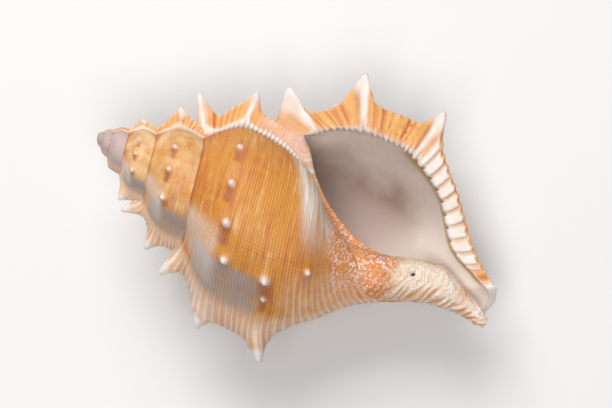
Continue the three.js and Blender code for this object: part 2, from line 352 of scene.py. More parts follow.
# %% Fine sculpture
CORD_SPACING = 0.72  # mm at full size
CORD_HEIGHT = 0.08  # mm
BEAD_SPACING = 2.6  # degrees
TOOTH_SPACING = 2.15  # mm
DENTICLE_SPACING = 1.4  # mm
FOOT_BEAD_SPACING = 1.3  # mm between the beads at the foot of an old lip


def cord_wave(at, degrees):
    """The cords' ridges, 0 to 1, beaded by the growth lines."""
    length = length_at(at)
    bead = wave(degrees / BEAD_SPACING + 3.0 * np.sin(length * 0.3) / (2.0 * np.pi))
    return zone("cords", at) * wave(length / CORD_SPACING) * (0.86 + 0.14 * bead)


def lip_ribs(at):
    """The coarser ribs of the lips, two cords wide, 0 to 1."""
    return zone("lip ribs", at) * wave(length_at(at) / (2.0 * CORD_SPACING)) ** 1.3


def tooth_wave(at):
    """The square teeth of the outer side and the uneven small ones of the upper side, 0 to 1."""
    length = length_at(at)
    square = np.clip(2.5 + 3.2 * np.cos(2.0 * np.pi * length / TOOTH_SPACING), 0.0, 1.0)
    small = 0.5 + 0.5 * np.cos(2.0 * np.pi * length / DENTICLE_SPACING + 0.8 * np.sin(0.9 * length))
    small = small * (0.75 + 0.25 * np.sin(2.3 * length))
    return square * zone("teeth", at), small * zone("denticles", at)


print("cords on the outer side", int(length_at(OUTER_END) / CORD_SPACING))

# %% [markdown]
# ## Winding a sheet
# Every piece starts as a flat grid. The grid's own operator makes the faces, every corner is then moved
# to its place on the shell, and the edges that meet are merged, so that the sheet closes into a skin.
# A revolved or swept surface would close by itself, but it couldn't follow the law of growth. The marks
# that the finish needs are kept on the corners.

# %% Winding a sheet
MARKS = (
    "cord", "white", "streaky", "deep", "grey", "lining", "pink", "ivory",
    "turn", "front", "callus", "across", "groove_shade", "specks",
)  # fmt: skip
SEAM = 1e-6  # mm between corners that are one corner

# The shell's own axes as the frame has them: along the spire, to the outer lip, out of the mouth.
REST_UP = Vector((-0.0523, 0.0437, 0.9977)).normalized()
ALONG = (Vector((1, 0, 0)) - REST_UP * REST_UP.x).normalized()
ACROSS = REST_UP.cross(ALONG)
TO_FRAME = np.array([ALONG, ACROSS, REST_UP])


def closed(places, ring):
    """Places whose sides meet. The two ends meet too in a ring, or each shrinks to a point."""
    if ring:
        places[-1] = places[0]
    else:
        places[0] = places[0].mean(axis=0)
        places[-1] = places[-1].mean(axis=0)
    places[:, -1] = places[:, 0]
    return places


def wound_sheet(name, places, marks):
    """A grid moved to places, an array (rows, columns, 3) in mm, with its open edges merged."""
    rows, columns = places.shape[:2]
    sheet = bmesh.new()
    bmesh.ops.create_grid(sheet, x_segments=columns - 1, y_segments=rows - 1, size=0.5)
    flat = np.array([corner.co for corner in sheet.verts])
    column = np.rint((flat[:, 0] + 0.5) * (columns - 1)).astype(int)
    row = np.rint((flat[:, 1] + 0.5) * (rows - 1)).astype(int)
    layers = {mark: sheet.verts.layers.float.new(mark) for mark in MARKS}
    moved = (places[row, column] @ TO_FRAME.T).tolist()
    for corner, place in zip(sheet.verts, moved):
        corner.co = place
    for mark, layer in layers.items():
        values = np.broadcast_to(marks.get(mark, 0.0), (rows, columns))[row, column].tolist()
        for corner, value in zip(sheet.verts, values):
            corner[layer] = value
    bmesh.ops.remove_doubles(sheet, verts=sheet.verts, dist=SEAM)
    bmesh.ops.recalc_face_normals(sheet, faces=sheet.faces)
    mesh = bpy.data.meshes.new(name)
    sheet.to_mesh(mesh)
    sheet.free()
    mesh.shade_smooth()
    piece = bpy.data.objects.new(name, mesh)
    bpy.context.scene.collection.objects.link(piece)
    print(name, len(mesh.vertices), "corners", len(mesh.polygons), "faces")
    return piece


print("marks on every corner", len(MARKS))

# %% [markdown]
# ## Where the corners of a half turn lie
# The columns of its grid run round the outline, and the rows run from inside the old lip along the
# wall, over the new lip and back through the hollow. Columns are set a few to each cord and rows crowd
# towards the lip. An even grid would waste most of its faces where nothing is to be seen.

# %% Where the corners of a half turn lie
WALL_CROWDING = 1.25  # above 1 the rows crowd towards the lip
HOLLOW_CROWDING = 1.5
YOUNG_TURNS = (-3.5, -3.0)  # turns back from the mouth: before these the spire is plain and worn


def column_places(per_cord, hidden):
    """Places along the outline: evenly spaced over the outer side, a few per cord, sparse inside."""
    outer_length = length_at(OUTER_END)
    count = int(round(outer_length / CORD_SPACING)) * per_cord
    outer = np.interp(np.linspace(0.0, outer_length, count + 1), fine_length, fine_at)
    inner = np.linspace(OUTER_END, len(LANDMARKS), hidden + 1)
    return np.concatenate([outer, inner[1:]])


def ring_rows(outer, front, inner):
    """For each row: degrees before the lip, part of the way over the lip's front, and 1 if inside."""
    first = -180.0 - START_OVERLAP
    wall = mix(first, 0.0, 1.0 - (1.0 - np.linspace(0.0, 1.0, outer)) ** WALL_CROWDING)
    over = np.linspace(0.0, 1.0, front + 1)[1:]
    back = mix(0.0, first, np.linspace(0.0, 1.0, inner + 1)[1:] ** HOLLOW_CROWDING)
    degrees = np.concatenate([wall, np.zeros(front), back])
    part = np.concatenate([np.zeros(outer), over, np.ones(inner)])
    inside = np.concatenate([np.zeros(outer + front), np.ones(inner)])
    return degrees, part, inside


class Sheet:
    """Where each corner of one half turn's grid lies on the shell, and what stands out there."""

    def __init__(self, half, per_cord, hidden, outer, front, inner):
        degrees, part, inside = ring_rows(outer, front, inner)
        self.half = half
        self.newest = float(half == 0)
        self.body = float(half == 1)  # the half turn that shows beside the mouth
        self.own = -180.0 * half  # degrees from the mouth to this lip
        self.at, self.degrees = np.meshgrid(column_places(per_cord, hidden), degrees)
        self.length = length_at(self.at)
        self.part = np.broadcast_to(part[:, None], self.at.shape)
        self.inside = np.broadcast_to(inside[:, None], self.at.shape)
        self.outside = (1.0 - self.inside) * (1.0 - self.part)
        self.front = window(self.part, 0.05, 1.0, 0.05) * (1.0 - self.inside)
        self.turn = (self.own + self.degrees) / 360.0
        self.young = 1.0 - smooth(self.turn, *YOUNG_TURNS)
        self.visible = window(self.degrees, -176.0, 10.0, 4.0)
        self.near = near_lip(self.degrees)
        self.edge = smooth(self.near, 0.18, 0.75) * self.outside
        self.band = zone("canal band", self.at) * smooth(self.degrees, -70.0, -40.0) * self.body
        self.tooth_zone = zone("between teeth", self.at) * smooth(self.part, 0.1, 0.24)
        self.spine = spine_height(self.at, self.degrees, half)[0] * (self.inside < 0.5)
        self.knob, self.knob_near, self.knob_shade = knob_height(self.at, self.degrees, half)
        ribbed = 0.85 * np.maximum(self.near, 0.8 * self.band)
        cord = mix(cord_wave(self.at, self.degrees), lip_ribs(self.at), ribbed)
        self.cord = cord * (1.0 - 0.8 * self.young) * (1.0 - smooth(self.spine, 0.3, 0.7))


print("a half turn starts", 180.0 + START_OVERLAP, "degrees before its lip")

# %% [markdown]
# ## Wall, lip and hollow
# Cords and knobs stand out along the wall's normal. The front of a lip runs from its crest to the rim
# and bulges forward, with ribs and teeth pushed further. The rim of the mouth is a real edge with the
# hollow behind it, while the foot of an old lip sinks into the whorl before it. A Solidify modifier
# could give the wall its thickness, but not a lip of this section.

# %% Wall, lip and hollow
LIP_CORDS = 3.2  # how much higher cords get at a lip, as a share
TOOTH_IN = 0.5  # mm that the square teeth stand into the mouth
DENTICLE_IN = 0.55  # mm
TOOTH_PUSH = 1.3  # degrees that teeth stand forward
RIB_PUSH = 0.168  # degrees that the ribs stand forward
BULGE_PUSH = (0.9, 0.5)  # degrees that the lip bulges forward at its crest and at its rim
RIM_BACK = 0.4  # degrees that the very rim stays back


def raised_wall(sheet):
    """The wall with its cords and knobs, and the direction in which they stand out."""
    wall = wall_point(sheet.at, sheet.degrees, sheet.half)
    slope = np.gradient(wall, axis=1)
    slope /= np.maximum(np.linalg.norm(slope, axis=-1, keepdims=True), 1e-9)
    normal = np.stack([slope[..., 1], -slope[..., 0]], axis=-1)
    knob = sheet.knob * (1.0 - 0.7 * sheet.young)
    raised = CORD_HEIGHT * (1.0 + LIP_CORDS * sheet.near) * sheet.cord + knob
    return wall + normal * (raised * sheet.visible)[..., None], normal


def toothed_rim(sheet):
    """The rim of the mouth, with teeth that stand into it."""
    rim = outline("rim", sheet.at)
    square, small = tooth_wave(sheet.at)
    inward = HOLLOW_CENTRE - rim
    inward /= np.linalg.norm(inward, axis=-1, keepdims=True)
    tooth = window(sheet.part, 0.85, 1.0, 0.1) * (1.0 - smooth(-sheet.degrees, 1.5, 6.0))
    return rim + inward * ((TOOTH_IN * square + DENTICLE_IN * small) * tooth)[..., None]


def lip_and_hollow(sheet, normal):
    """The front of the lip, from its crest to the rim, and the hollow behind the rim."""
    crest = wall_point(sheet.at, np.zeros_like(sheet.degrees), sheet.half)
    crest = crest + normal * (CORD_HEIGHT * (1.0 + LIP_CORDS) * sheet.cord)[..., None]
    if sheet.half == 0:
        rim, hollow = toothed_rim(sheet), outline("hollow", sheet.at)
        deep_in = smooth(-sheet.degrees, 0.0, 30.0)
    else:
        rim = mix(outline("wall", sheet.at), WHORL_CENTRE, FRONT_SUNK * sheet.part[..., None])
        hollow = mix(outline("hollow", sheet.at), HOLLOW_CENTRE, HOLLOW_SUNK)
        deep_in = smooth(-sheet.degrees, -1.0, 0.5)
    return mix(crest, rim, sheet.part[..., None]), mix(rim, hollow, deep_in[..., None])


def teeth_and_ribs(sheet):
    """How strong the teeth and the ribs are on the front of the lip."""
    part = sheet.part
    if sheet.half == 0:
        square, small = tooth_wave(sheet.at)
        teeth = square * window(part, 0.24, 1.0, 0.1) + 0.7 * small * window(part, 0.85, 1.0, 0.1)
        return teeth, 1.0 - np.maximum(sheet.tooth_zone, smooth(part, 0.7, 0.85))
    beads = 1.1 + wave(sheet.length / FOOT_BEAD_SPACING)
    beads = beads * window(part, 0.72, 0.9, 0.08) * zone("foot beads", sheet.at)
    return beads, 1.0 - smooth(part, 0.6, 0.75)


def forward_push(sheet):
    """Degrees that the front of the lip stands forward."""
    teeth, ribs = teeth_and_ribs(sheet)
    part = sheet.part
    bulge = np.sqrt(np.clip(1.0 - (2.0 * part - 1.0) ** 6, 0.0, 1.0)) * (part < 1.0)
    rib = RIB_PUSH * sheet.cord * window(part, 0.1, 0.9, 0.1) * ribs
    tooth = TOOTH_PUSH * teeth * (1.0 - sheet.inside)
    return mix(*BULGE_PUSH, part) * bulge + rib + tooth - RIM_BACK * (part >= 1.0) * (sheet.inside < 0.5)


print("cords at a lip in mm", round(CORD_HEIGHT * (1.0 + LIP_CORDS), 3))

# %% [markdown]
# ## White marks
# The shell is white where it is thickest: on the tips of spines and knobs, on a rib up each spine, on
# the ribs of a lip, on the teeth and the rim, and at the end of the canal. The finish could look for
# high places itself, but it would also find cords, so the form says it.

# %% White marks
SPINE_RIB = 0.6  # mm, half width of the white rib on a spine
WHITE_LIPS = 3  # newest lips whose ribs are white between the spines
RIBBED_SPINES = 4  # newest lips whose spines have a white rib


def wall_white(sheet):
    """Where the outside of the wall is white."""
    pale_ramp = window(sheet.degrees, -60.0, -34.0, 16.0) * zone("pale ramp", sheet.at) * sheet.outside
    between = zone("between spines", sheet.at) * (sheet.half < WHITE_LIPS)
    return np.maximum.reduce(
        [
            1.2 * smooth(sheet.spine, 0.3, 0.75),
            smooth(sheet.knob_near, 0.15, 0.65) * sheet.outside,
            0.45 * pale_ramp * (1.0 - sheet.young),
            0.4 * sheet.band * sheet.cord * sheet.outside,
            0.75 * sheet.edge * (0.25 + 0.75 * sheet.cord),
            0.85 * sheet.edge * between * (0.4 + 0.6 * sheet.cord),
        ]
    )


def front_white(sheet):
    """Where the front of the lip is white: on its teeth and its rim."""
    if sheet.half == 0:
        rim = np.maximum(smooth(sheet.part, 0.86, 0.97), teeth_and_ribs(sheet)[0])
        rim = np.maximum(rim, 0.5 * sheet.tooth_zone)
    else:
        rim = smooth(sheet.part, 0.66, 0.74)
    return sheet.front * rim * zone("white rim", sheet.at)


def spine_white(sheet):
    """The white of the spines: their tips seen from the front, and a rib up both their sides."""
    fading = 1.0 - sheet.part * mix(0.4, 0.9, smooth(sheet.at, 1.8, 2.4))
    strength = 0.6 if sheet.half == 2 else 0.85
    white = strength * sheet.front * smooth(sheet.spine * fading, 0.4, 0.75)
    sides = sheet.front + smooth(sheet.degrees, -22.0, -8.0) * sheet.outside
    for name, reach, half_width in spines_of(sheet.half):
        if name != "crest" and sheet.half < RIBBED_SPINES:
            rib = np.exp(-(((sheet.length - length_at(SPINE_AT[name])) / SPINE_RIB) ** 2))
            white = np.maximum(white, 0.85 * sides * rib)
    return white


def white_mark(sheet):
    """Where the shell is white, 0 to 1."""
    behind_rim = sheet.inside * (1.0 - smooth(-sheet.degrees, 0.5, 3.0)) * sheet.newest
    canal_end = zone("canal end", sheet.at) * (sheet.front + sheet.near * sheet.outside)
    parts = [
        wall_white(sheet) * (1.0 - sheet.front),
        front_white(sheet),
        spine_white(sheet),
        behind_rim * zone("behind the rim", sheet.at),
        canal_end * sheet.newest,
    ]
    return np.clip(np.maximum.reduce(parts), 0.0, 1.0)


print("white ribs on spines of the newest", RIBBED_SPINES, "lips")

# %% [markdown]
# ## The other marks
# Under the suture the colour is deeper, a shadow of deeper orange is painted beyond each knob, and
# before a lip there is a grey patch.
# The whorl beside the mouth has white streaks and a grainy base, and the inner lip is a glaze of callus.
# Two marks only measure: how many turns back a corner is, and how far across the whorl.

# %% The other marks
SUTURE_LINE = (0.55, 0.5)  # mm beyond the suture, and half width
SUTURE_BAND = (1.4, 2.4)  # mm wide, and how much wider where the half turn starts


def deep_mark(sheet):
    """Deeper colour at the suture and in a band under it, and painted shade beyond the knobs."""
    suture = length_at(1.0)
    line = np.exp(-(((sheet.length - suture - SUTURE_LINE[0]) / SUTURE_LINE[1]) ** 2)) * sheet.outside
    width = SUTURE_BAND[0] + SUTURE_BAND[1] * (1.0 - smooth(sheet.degrees, -165.0, -120.0))
    band = window(sheet.length, suture, suture + width, 0.8) * sheet.outside
    # the painted shade beyond the knobs shares this mark with the deeper colour at the suture
    return np.clip(1.3 * line + 0.55 * band + 1.15 * sheet.knob_shade * sheet.outside, 0.0, 1.5)


def streaky_mark(sheet):
    """Where white streaks run: on the whorl beside the mouth and on the upper inner lip."""
    edge_at = 5.4 + 0.008 * (sheet.degrees + 140.0)
    near_mouth = smooth(sheet.at, edge_at - 0.25, edge_at + 0.2) * (1.0 - smooth(sheet.at, 6.7, 7.6))
    near_mouth = near_mouth * (1.0 - smooth(sheet.degrees, -126.0, -66.0)) * sheet.outside * sheet.body
    return np.maximum(near_mouth, sheet.front * sheet.newest * zone("upper inner lip", sheet.at))


def callus_mark(sheet):
    """Where a lip is glazed over."""
    on_old = zone("glazed old lip", sheet.at) * (sheet.half == 2)
    at_ends = (1.0 - smooth(sheet.at, 0.5, 1.2)) + smooth(sheet.at, 16.0, 16.6) * sheet.newest
    return np.clip(sheet.front * np.maximum(on_old, at_ends), 0.0, 1.0)


def pink_mark(sheet):
    """Where small warts stand on an orange ground: the base of the whorl and the lower inner lip."""
    base = zone("grainy base", sheet.at) * (1.0 - smooth(sheet.degrees, -60.0, -15.0))
    inner = sheet.front * sheet.newest * zone("lower inner lip", sheet.at)
    return np.maximum(base * sheet.outside * sheet.body, inner)


def front_mark(sheet, callus):
    """Where the tan and orange of a lip show: on its front, and on an old lip's edge too."""
    front = sheet.front * (1.0 - callus) * (1.0 - 0.7 * sheet.tooth_zone)
    edge = np.maximum(0.7 * sheet.edge, 0.8 * sheet.band * sheet.outside) * (1.0 - sheet.newest)
    return np.maximum(front, edge)


def marks_of(sheet):
    """All marks of a half turn, by name."""
    callus = callus_mark(sheet)
    grey = window(sheet.degrees, -44.0, -20.0, 8.0) * zone("grey", sheet.at) * sheet.outside
    specks = zone("specks", sheet.at) * window(sheet.part, 0.3, 0.6, 0.2)
    return {
        "cord": sheet.cord * sheet.visible,
        "white": white_mark(sheet),
        "streaky": streaky_mark(sheet),
        "deep": deep_mark(sheet),
        "grey": grey * (1.0 - sheet.young),
        "lining": sheet.inside * smooth(-sheet.degrees, 0.5, 3.0),
        "pink": pink_mark(sheet),
        "turn": sheet.turn,
        "front": front_mark(sheet, callus),
        "callus": callus,
        "across": sheet.length + 6.0 * sheet.part * smooth(sheet.at, 12.0, 13.0),
        # painted shadow in the groove behind the teeth
        "groove_shade": sheet.inside * window(-sheet.degrees, 2.0, 7.0, 2.5) * zone("groove_shade", sheet.at),
        "specks": sheet.front * sheet.newest * specks,
    }


print("suture at mm", round(float(length_at(1.0)), 2), "along the outline")

# %% [markdown]
# ## Winding all half turns
# The newest half turns are large and get the finest grids. The first whorls of the spire are only a few
# millimetres across, so theirs are coarse. Only the newest three are rings with a hollow, and the
# others close to a point at both ends, because nobody can look into them.

# %% Winding all half turns
DETAIL = [  # columns per cord, hidden columns, rows of the wall, of the lip's front and of the hollow
    (4, 34, 206, 14, 50),
    (4, 30, 250, 10, 20),
    (4, 24, 200, 8, 14),
    (3, 20, 160, 6, 1),
    (3, 16, 110, 5, 1),
    (2, 14, 80, 4, 1),
    (1, 12, 60, 4, 1),
]
HOLLOW_HALVES = 3


def half_turn(half, detail):
    """One growth spurt: its wall, its lip and the hollow inside."""
    sheet = Sheet(half, *detail)
    wall, normal = raised_wall(sheet)
    front, behind = lip_and_hollow(sheet, normal)
    is_wall, is_inside = (sheet.part == 0.0)[..., None], (sheet.inside > 0.5)[..., None]
    point = np.where(is_wall, wall, np.where(is_inside, behind, front))
    degrees = sheet.own + sheet.degrees + forward_push(sheet)
    places = grown(point, degrees, tip_twist(sheet.at, sheet.degrees, half))
    return wound_sheet(f"half_turn_{half}", closed(places, half < HOLLOW_HALVES), marks_of(sheet))


pieces = [half_turn(half, DETAIL[min(half, len(DETAIL) - 1)]) for half in range(HALF_TURNS)]

# %% [markdown]
# ## The pillar
# The whorls wind round a solid pillar, and its lower end is the left wall of the canal. It is a
# tapering, slightly bent rod with wrinkles across its front and scaly cords round its left side, so it
# is another wound sheet: a row of rings along the axis. Something bored a small pit into it.

# %% The pillar
PILLAR = np.array(
    [  # along the axis, right of the axis, towards the mouth, radius, in mm
        (30.0, 0.0, 0.0, 1.0),
        (48.0, -1.0, 0.0, 3.4),
        (51.0, -0.8, -0.3, 3.9),
        (55.4, 1.0, -0.8, 3.7),
        (60.4, 2.3, -1.0, 3.2),
        (65.3, 1.6, -0.8, 1.9),
        (68.4, 0.8, -0.4, 1.4),
        (70.0, 0.1, 0.0, 0.6),
    ]
)
PILLAR_SIDES = 160
PILLAR_RINGS = 260
PILLAR_SOFT = 9  # rings over which its bends are rounded
ROUGH_FROM = (46.0, 51.0)  # mm along the axis, where its surface comes out of the whorls
IVORY_FROM = (51.5, 54.5)  # and where its colour changes
SCALE_HEIGHT = 0.26  # mm
LUMP_HEIGHT = 0.07
PIT_DEPTH = 0.8
PIT = (55.8, 289.0)  # along the axis in mm, degrees round the pillar
PIT_SIZE = (0.4, 0.46)  # mm along and round


def rounded_run(values):
    """Values along the pillar with their bends rounded."""
    padded = np.pad(values, PILLAR_SOFT // 2, mode="edge")
    return np.convolve(padded, np.ones(PILLAR_SOFT) / PILLAR_SOFT, mode="valid")


def pillar():
    """The rings of the pillar, wound into a closed skin."""
    run = np.linspace(PILLAR[0, 0], PILLAR[-1, 0], PILLAR_RINGS)
    right, front, radius = (
        rounded_run(np.interp(run, PILLAR[:, 0], PILLAR[:, k]))[:, None] for k in (1, 2, 3)
    )
    angle, along = np.meshgrid(-2.0 * np.pi * np.arange(PILLAR_SIDES + 1) / PILLAR_SIDES, run)
    rough = smooth(along, *ROUGH_FROM)
    left_side = smooth(-np.cos(angle), -0.1, 0.6)
    cords = 0.5 + 0.5 * np.cos(2.0 * np.pi * (along * 0.75 + 1.1 * angle) + 1.5 * np.sin(along * 1.7))
    scale = 0.5 + 0.5 * np.sin(along * 4.3 + 5.0 * angle)
    lumps = np.sin(along * 3.7 + 2.0 * np.sin(3.0 * angle)) * np.sin(5.0 * angle + 1.9 * along)
    lumps = lumps + 0.6 * np.sin(along * 8.3 + 1.7) * np.sin(13.0 * angle - 3.1 * along)
    beside_pit = radius * (angle + math.radians(PIT[1])) / PIT_SIZE[1]
    pit = np.exp(-(((along - PIT[0]) / PIT_SIZE[0]) ** 2) - beside_pit**2)
    scales = SCALE_HEIGHT * cords * (0.4 + 0.6 * scale) * left_side
    ring = radius + rough * (scales + LUMP_HEIGHT * lumps) - PIT_DEPTH * pit
    places = np.stack([along, right + ring * np.cos(angle), front + ring * np.sin(angle)], axis=-1)
    marks = {
        # on the pillar this mark also paints shade between the lumps and a highlight on their tops
        "cord": 0.5 + 0.5 * lumps * rough,
        "ivory": smooth(along, *IVORY_FROM) * (1.0 - 0.75 * left_side * (1.0 - cords)),
        # the pit's mark is painted shade, far above the deeper colour of the wall
        "deep": 3.6 * pit,
        "pink": 1.0 - smooth(along, *IVORY_FROM),
        "turn": np.full(along.shape, -0.5),
        "across": along,
    }
    return wound_sheet("pillar", closed(places, ring=False), marks)


pieces.append(pillar())

# %% [markdown]
# ## Place
# The wound sheets are in the shell's own place. The frame has the same shell with its middle at the
# origin and its lowest point on the floor, so both boxes are lined up, and the move goes into the
# meshes.

# %% Place
low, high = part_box("frog_shell")
corners = np.concatenate([np.array([v.co for v in piece.data.vertices]) for piece in pieces]) * MM
shift = Vector(
    (
        (low.x + high.x) / 2.0 - float(corners[:, 0].min() + corners[:, 0].max()) / 2.0,
        (low.y + high.y) / 2.0 - float(corners[:, 1].min() + corners[:, 1].max()) / 2.0,
        low.z - float(corners[:, 2].min()),
    )
)
print("shift in mm", [round(v / MM, 3) for v in shift])
for piece in pieces:
    piece.data.transform(Matrix.Translation(shift) @ Matrix.Scale(MM, 4))
    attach(piece, "root")
    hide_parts("frog_shell")

# %% [markdown]
# ## Writing shader maths as expressions
# A material's maths is easier to read as an expression than as a list of nodes. This class wraps a
# socket, and each operator adds the Math node that does it.

# %% Socket expressions
def linear(code):
    """A colour for a shader from the six hexadecimal digits that name it on a screen."""
    values = [int(code[i : i + 2], 16) / 255.0 for i in (0, 2, 4)]
    return tuple(v / 12.92 if v <= 0.04045 else ((v + 0.055) / 1.055) ** 2.4 for v in values) + (1.0,)


class Wire:
    """A socket of a material's nodes, which can be added, multiplied and so on."""

    def __init__(self, tree, socket):
        self.tree = tree
        self.socket = socket

    def node(self, kind, settings=None, outlet=0, **values):
        """Adds a node: settings first, then values or links of its sockets, by name or number."""
        made = self.tree.nodes.new(kind)
        for key, value in (settings or {}).items():
            setattr(made, key, value)
        for key, value in values.items():
            socket = int(key[1:]) if key[1:].isdigit() else key.replace("_", " ")
            inlet = made.inputs[socket]
            if isinstance(value, Wire):
                self.tree.links.new(value.socket, inlet)
            else:
                inlet.default_value = value
        return Wire(self.tree, made.outputs[outlet])

    def maths(self, operation, a, b=0.0, clamp=False):
        """One operation on one or two values or wires."""
        settings = {"operation": operation, "use_clamp": clamp}
        return self.node("ShaderNodeMath", settings, _0=a, _1=b)

    def __add__(self, other):
        return self.maths("ADD", self, other)

    __radd__ = __add__

    def __sub__(self, other):
        return self.maths("SUBTRACT", self, other)

    def __rsub__(self, other):
        return self.maths("SUBTRACT", other, self)

    def __mul__(self, other):
        return self.maths("MULTIPLY", self, other)

    __rmul__ = __mul__

    def clamped(self):
        """This value kept between 0 and 1."""
        return self.maths("ADD", self, 0.0, clamp=True)

    def stepped(self, low, high):
        """0 below low and 1 above high."""
        settings = {"interpolation_type": "SMOOTHSTEP"}
        return self.node("ShaderNodeMapRange", settings, Value=self, From_Min=low, From_Max=high)

    def blended(self, other, part):
        """This colour turned into another one by part."""
        settings = {"data_type": "RGBA", "clamp_factor": True}
        return self.node("ShaderNodeMix", settings, 2, _0=part, _6=self, _7=other)


print("pure white is", linear("FFFFFF")[0])

# %% [markdown]
# ## Marks and noises of the finish
# The lime is one material with bands of colour. The marks say where each band is, and noises break its
# edges: two broad ones, two fine ones and streaks drawn out along the whorl. A painted picture could do
# it too, but it would blur close up, and noise doesn't.

# %% Marks and noises of the finish
shell = bpy.data.materials.new("shell_lime")
shell.use_nodes = True
tree = shell.node_tree
bsdf = tree.nodes["Principled BSDF"]
start = Wire(tree, bsdf.outputs[0])
mark = {name: start.node("ShaderNodeAttribute", {"attribute_name": name}, 2) for name in MARKS}
place = start.node("ShaderNodeTexCoord", outlet=3)


def noise(scale, detail=3.0):
    """Noise with this many spots per metre."""
    return start.node("ShaderNodeTexNoise", Vector=place, Scale=scale, Detail=detail, Roughness=0.55)


broad = noise(110.0)
middle = noise(420.0)
fine = noise(1800.0)
grains = noise(4200.0, 2.0)
streak_place = start.node(
    "ShaderNodeCombineXYZ", X=mark["across"] * 0.9, Y=mark["turn"] * 9.0, Z=broad * 0.6
)
streaks = start.node("ShaderNodeTexNoise", Vector=streak_place, Scale=1.0, Detail=4.0, Roughness=0.6)
growth_place = start.node("ShaderNodeCombineXYZ", X=mark["across"] * 0.08, Y=mark["turn"] * 70.0)
growth_lines = start.node("ShaderNodeTexNoise", Vector=growth_place, Scale=1.0, Detail=3.0)
granules = start.node("ShaderNodeTexVoronoi", Vector=place, Scale=1900.0)
grain_tops = 1.0 - granules.stepped(0.3, 0.62)
print("marks read", len(mark))

# %% [markdown]
# ## Colour of the wall
# The ground is tan, with deeper orange in streaks, along growth lines and in the painted shade beyond
# the knobs, and brown under the suture. The gaps between the cords are painted browner as shade and
# their crests paler as a painted highlight. The whorls turn cream and then dull towards the tip, where
# the colour has worn off.

# %% Colour of the wall
TAN = linear("C48024")
ORANGE = linear("B5601C")
BROWN = linear("8A4A20")
CREAM = linear("EBD3A6")
YOUNG = linear("B8A29A")
OLDER_TURNS = (-2.2, -1.2)  # turns back from the mouth, where cream gives way to full colour


def plain(colour):
    """A colour as a socket, to lay others over."""
    made = start.node("ShaderNodeRGB")
    made.socket.default_value = colour
    return made


def painted(under, colour, where, amount, unevenness):
    """A colour laid over another where a mark says, thicker and thinner by turns."""
    return under.blended(colour, (where * (amount + (middle - 0.5) * unevenness)).clamped())


orange_part = (streaks - 0.46) * 4.2 + (growth_lines - 0.5) * 1.2 + (broad - 0.5) * 2.0
# this mark adds the suture band's deeper colour and the painted shade beyond the knobs
orange_part = orange_part + mark["deep"] * 0.8
colour = plain(TAN).blended(ORANGE, orange_part.clamped())
colour = colour.blended(CREAM, ((0.44 - streaks) * 3.6 + (middle - 0.6) * 1.5).clamped() * 0.7)
colour = colour.blended(BROWN, (mark["deep"] - 0.5).clamped() * 0.9)
# painted shade in the gaps between the cords, then a painted highlight on their crests
colour = colour.blended(BROWN, (1.0 - mark["cord"]) * middle * 0.3)
colour = colour.blended(CREAM, mark["cord"] * middle * 0.24)
older = 1.0 - mark["turn"].stepped(*OLDER_TURNS)
cream_part = older * (0.55 + (middle - 0.5) * 2.0 - mark["deep"] * 0.4)
colour = colour.blended(CREAM, cream_part.clamped() * 0.7)
young = 1.0 - mark["turn"].stepped(*YOUNG_TURNS)
colour = colour.blended(YOUNG, (young * (1.0 - mark["deep"] * 0.8)).clamped())
print("cream from", -OLDER_TURNS[1], "turns back, dull from", -YOUNG_TURNS[1])

# %% [markdown]
# ## Colour of the lips
# Before each lip the wall is lilac grey. The lip itself is tan with orange stripes in the gaps between
# its ribs and a few brown specks. A stripe pattern of its own would drift off the ribs, so the stripes
# read the cords' mark. Callus glazes the lip pale where a later whorl touches it.

# %% Colour of the lips
LILAC = linear("8E8280")
LIP_TAN = linear("E3AA66")
CALLUS = linear("D9B8A8")

colour = painted(colour, LILAC, mark["grey"], 0.8, 1.2)
# a painted highlight on the cords' crests in the grey patch
colour = colour.blended(CREAM, mark["grey"] * mark["cord"] * 0.16)
colour = painted(colour, LIP_TAN, mark["front"], 0.7, 1.5)
stripe = mark["front"] * (1.0 - mark["cord"]) * (streaks - 0.36) * 3.6
colour = colour.blended(ORANGE, stripe.clamped())
colour = colour.blended(BROWN, (mark["specks"] * (fine - 0.58) * 14.0).clamped())
colour = painted(colour, CALLUS, mark["callus"], 0.75, 1.0)
print("nodes so far", len(tree.nodes))

# %% [markdown]
# ## Grainy parts, white and the pit
# The pillar and the base of the whorl carry small pale warts on an orange or ivory ground, which a
# cell pattern gives. White comes after them, because it covers what is below it, and the bored pit is
# painted dark as shade.

# %% Grainy parts, white and the pit
WHITE = linear("DBD4CD")
IVORY = linear("DFCDB8")
PINK = linear("CC7F48")
PIT_SHADE = linear("3A2A20")

colour = painted(colour, PINK, mark["pink"], 0.75, 1.6)
colour = painted(colour, IVORY, mark["ivory"], 0.85, 1.2)
colour = painted(colour, WHITE, mark["pink"] * grain_tops, 0.5, 2.0)
colour = painted(colour, WHITE, mark["ivory"] * grain_tops, 0.5, 2.0)
colour = colour.blended(ORANGE, (mark["ivory"] * (broad - 0.53) * 5.0).clamped() * 0.5)
white_streaks = 0.15 + (streaks - 0.4) * 3.0 + mark["cord"] * 0.4
colour = colour.blended(WHITE, (mark["streaky"] * white_streaks).clamped())
colour = painted(colour, WHITE, mark["white"], 0.9, 0.9)
# painted shade in the bored pit
colour = colour.blended(PIT_SHADE, (mark["deep"] - 1.6).clamped())
print("ground of the pillar", [round(v, 2) for v in IVORY[:3]])

# %% [markdown]
# ## Colour inside the mouth
# The lining is pale behind the rim. Further in it is painted browner as shade, and in the depth it is
# paler again: its own pale colour raised further as painted light against the shade there. The groove
# behind the teeth is painted tan as its shadow. The lining's colour replaces the outer colours
# altogether, so it is mixed apart.

# %% Colour inside the mouth
INNER_SHADE = linear("9F867B")
INNER_PALE = linear("E4D7CC")
DEPTH_PALE_AND_LIGHT = linear("DCC6BE")
GROOVE_SHADE = linear("B8955A")

